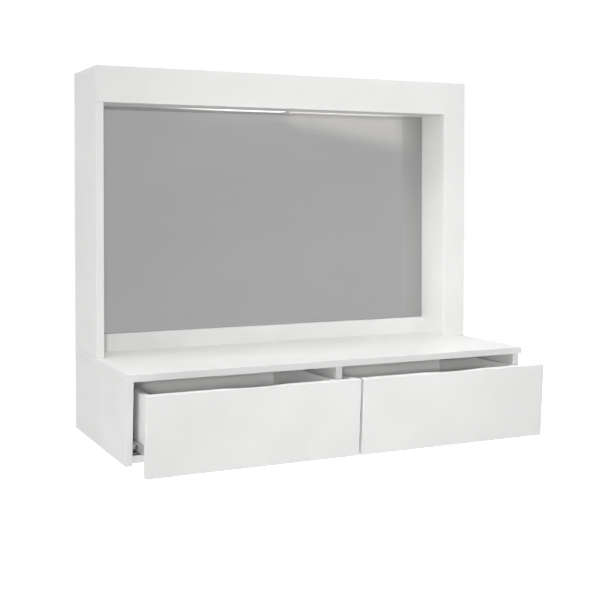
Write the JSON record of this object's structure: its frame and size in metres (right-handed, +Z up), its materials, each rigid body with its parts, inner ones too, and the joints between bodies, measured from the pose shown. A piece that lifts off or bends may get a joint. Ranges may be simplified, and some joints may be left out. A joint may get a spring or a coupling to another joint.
{
  "type": "wall-hung dressing table",
  "caption": "White wall-hung dressing table: a low cabinet with side-by-side drawers under an overhanging top, and a deep surround with a recessed mirror and a light under its beam.",
  "frame": {"origin": "on the wall plane, midway between the two wall-screw holes of the lower hanging rail", "axes": "+X to the right seen from the front, +Y into the wall, +Z up; the front faces -Y"},
  "size_m": [1, 0.5606, 0.871],
  "materials": {
    "white_board": "white satin laminate on particle board",
    "drawer_board": "white laminate on thinner particle board",
    "thin_board": "white-faced hardboard",
    "mirror_glass": "polished silvered glass",
    "foam_tape": "closed-cell foam",
    "aluminium": "satin anodised",
    "opal_diffuser": "opal",
    "light_strip": "printed strip",
    "dark_plastic": "moulded",
    "driver_case": "moulded, fine texture",
    "lead_jacket": "smooth jacket",
    "bumper_rubber": "clear soft",
    "runner_steel": "grey epoxy powder coat",
    "roller_nylon": "nylon",
    "zinc_steel": "bright zinc plate"
  },
  "bodies": {
    "cabinet": {"base_back": "thin_board", "base_bottom": "white_board", "base_divider": "white_board", "base_hanging_rail": "white_board", "base_left_side": "white_board", "base_right_side": "white_board", "base_top": "white_board", "cam_connectors": "zinc_steel", "frame_fascia": "white_board", "frame_hanging_rail": "white_board", "frame_left_side": "white_board", "frame_right_return": "white_board", "frame_right_side": "white_board", "frame_soffit": "white_board", "frame_top": "white_board", "left_drawer_left_cabinet_rail": "runner_steel", "left_drawer_right_cabinet_rail": "runner_steel", "light_driver": "driver_case", "light_joiner": "dark_plastic", "light_lead": "lead_jacket", "light_left_diffuser": "opal_diffuser", "light_left_profile": "aluminium", "light_right_diffuser": "opal_diffuser", "light_right_profile": "aluminium", "light_strips": "light_strip", "long_screws": "zinc_steel", "mirror_backboard": "white_board", "mirror_pane": "mirror_glass", "mirror_rail": "white_board", "mirror_tapes": "foam_tape", "right_drawer_left_cabinet_rail": "runner_steel", "right_drawer_right_cabinet_rail": "runner_steel", "small_screws": "zinc_steel", "wall_hangers": "zinc_steel"},
    "left_drawer": {"left_drawer_back": "drawer_board", "left_drawer_bottom": "thin_board", "left_drawer_bumpers": "bumper_rubber", "left_drawer_fasteners": "zinc_steel", "left_drawer_front": "white_board", "left_drawer_left_drawer_rail": "runner_steel", "left_drawer_left_side": "drawer_board", "left_drawer_right_drawer_rail": "runner_steel", "left_drawer_right_side": "drawer_board"},
    "right_drawer": {"right_drawer_back": "drawer_board", "right_drawer_bottom": "thin_board", "right_drawer_bumpers": "bumper_rubber", "right_drawer_fasteners": "zinc_steel", "right_drawer_front": "white_board", "right_drawer_left_drawer_rail": "runner_steel", "right_drawer_left_side": "drawer_board", "right_drawer_right_drawer_rail": "runner_steel", "right_drawer_right_side": "drawer_board"},
    "left_drawer_left_front_roller": {"left_drawer_left_front_roller": "roller_nylon"},
    "left_drawer_left_rear_roller": {"left_drawer_left_rear_roller": "roller_nylon"},
    "left_drawer_right_front_roller": {"left_drawer_right_front_roller": "roller_nylon"},
    "left_drawer_right_rear_roller": {"left_drawer_right_rear_roller": "roller_nylon"},
    "right_drawer_left_front_roller": {"right_drawer_left_front_roller": "roller_nylon"},
    "right_drawer_left_rear_roller": {"right_drawer_left_rear_roller": "roller_nylon"},
    "right_drawer_right_front_roller": {"right_drawer_right_front_roller": "roller_nylon"},
    "right_drawer_right_rear_roller": {"right_drawer_right_rear_roller": "roller_nylon"}
  },
  "joints": [
    {"name": "left_drawer_slide", "type": "slide", "parent": "cabinet", "child": "left_drawer", "axis": [0, -1, 0], "range_m": [-0.096, 0.194]},
    {"name": "right_drawer_slide", "type": "slide", "parent": "cabinet", "child": "right_drawer", "axis": [0, -1, 0], "range_m": [-0.096, 0.194]},
    {"name": "left_drawer_left_front_roller_spin", "type": "hinge", "parent": "cabinet", "child": "left_drawer_left_front_roller", "pos_m": [-0.4783, -0.41971, -0.101], "axis": [1, 0, 0], "continuous": true},
    {"name": "left_drawer_left_rear_roller_spin", "type": "hinge", "parent": "left_drawer", "child": "left_drawer_left_rear_roller", "pos_m": [-0.4772, -0.15, -0.105], "axis": [1, 0, 0], "continuous": true},
    {"name": "left_drawer_right_front_roller_spin", "type": "hinge", "parent": "cabinet", "child": "left_drawer_right_front_roller", "pos_m": [-0.0137, -0.41971, -0.101], "axis": [1, 0, 0], "continuous": true},
    {"name": "left_drawer_right_rear_roller_spin", "type": "hinge", "parent": "left_drawer", "child": "left_drawer_right_rear_roller", "pos_m": [-0.0148, -0.15, -0.105], "axis": [1, 0, 0], "continuous": true},
    {"name": "right_drawer_left_front_roller_spin", "type": "hinge", "parent": "cabinet", "child": "right_drawer_left_front_roller", "pos_m": [0.0137, -0.41971, -0.101], "axis": [1, 0, 0], "continuous": true},
    {"name": "right_drawer_left_rear_roller_spin", "type": "hinge", "parent": "right_drawer", "child": "right_drawer_left_rear_roller", "pos_m": [0.0148, -0.15, -0.105], "axis": [1, 0, 0], "continuous": true},
    {"name": "right_drawer_right_front_roller_spin", "type": "hinge", "parent": "cabinet", "child": "right_drawer_right_front_roller", "pos_m": [0.4783, -0.41971, -0.101], "axis": [1, 0, 0], "continuous": true},
    {"name": "right_drawer_right_rear_roller_spin", "type": "hinge", "parent": "right_drawer", "child": "right_drawer_right_rear_roller", "pos_m": [0.4772, -0.15, -0.105], "axis": [1, 0, 0], "continuous": true}
  ],
  "couplings": [
    {"joint": "left_drawer_left_front_roller_spin", "follows": "left_drawer_slide", "rad_per_m": 105.26},
    {"joint": "left_drawer_left_rear_roller_spin", "follows": "left_drawer_slide", "rad_per_m": 105.26},
    {"joint": "left_drawer_right_front_roller_spin", "follows": "left_drawer_slide", "rad_per_m": 105.26},
    {"joint": "left_drawer_right_rear_roller_spin", "follows": "left_drawer_slide", "rad_per_m": 105.26},
    {"joint": "right_drawer_left_front_roller_spin", "follows": "right_drawer_slide", "rad_per_m": 105.26},
    {"joint": "right_drawer_left_rear_roller_spin", "follows": "right_drawer_slide", "rad_per_m": 105.26},
    {"joint": "right_drawer_right_front_roller_spin", "follows": "right_drawer_slide", "rad_per_m": 105.26},
    {"joint": "right_drawer_right_rear_roller_spin", "follows": "right_drawer_slide", "rad_per_m": 105.26}
  ]
}
